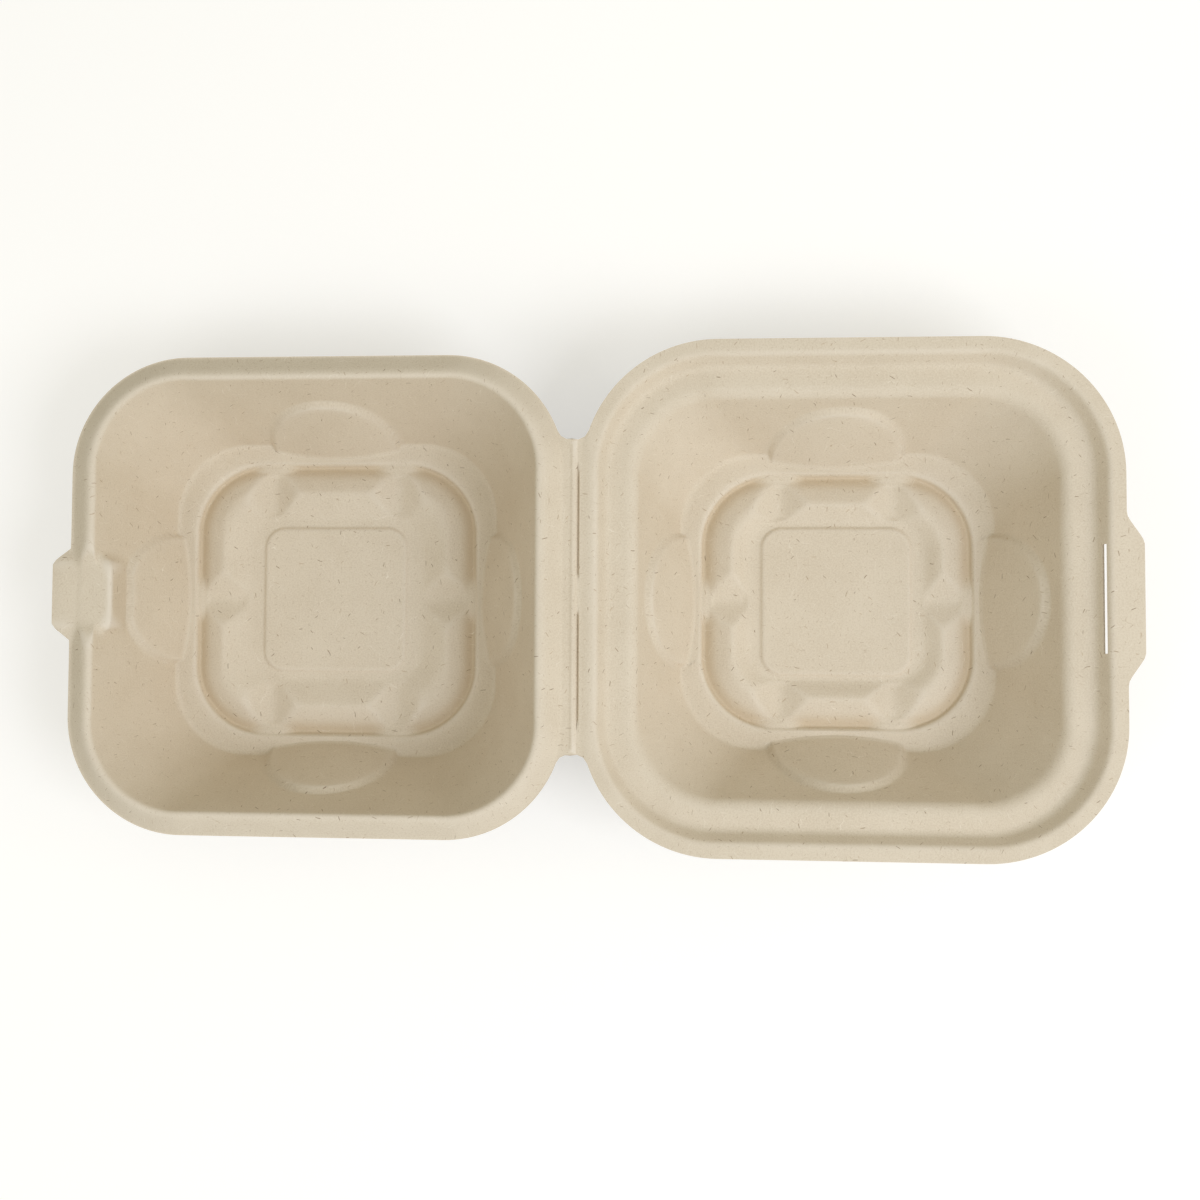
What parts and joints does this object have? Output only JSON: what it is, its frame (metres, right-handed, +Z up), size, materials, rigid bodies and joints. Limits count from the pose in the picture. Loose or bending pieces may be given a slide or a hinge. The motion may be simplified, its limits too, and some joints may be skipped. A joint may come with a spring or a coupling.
{
  "type": "fiber burger box",
  "caption": "Moulded plant-fibre burger box lying open, inside up: a base tray with a stepped rim and slit, and a beaded lid with a lock tab, joined at a fold.",
  "frame": {"origin": "on the surface the open box stands on, under the middle of its outline", "axes": "+X across the fold from the lid to the base, +Y along the fold, +Z up out of the open halves"},
  "size_m": [0.3216, 0.1524, 0.0413],
  "materials": {
    "moulded_fibre": "matte unbleached moulded plant fibre with brown flecks"
  },
  "bodies": {
    "base": {"base_tray": "moulded_fibre"},
    "lid": {"lid": "moulded_fibre"}
  },
  "joints": [
    {"name": "lid_hinge", "type": "hinge", "parent": "base", "child": "lid", "pos_m": [-0.00145, 0, 0.03695], "axis": [0, 1, 0], "range_deg": [0, 179.2]}
  ]
}
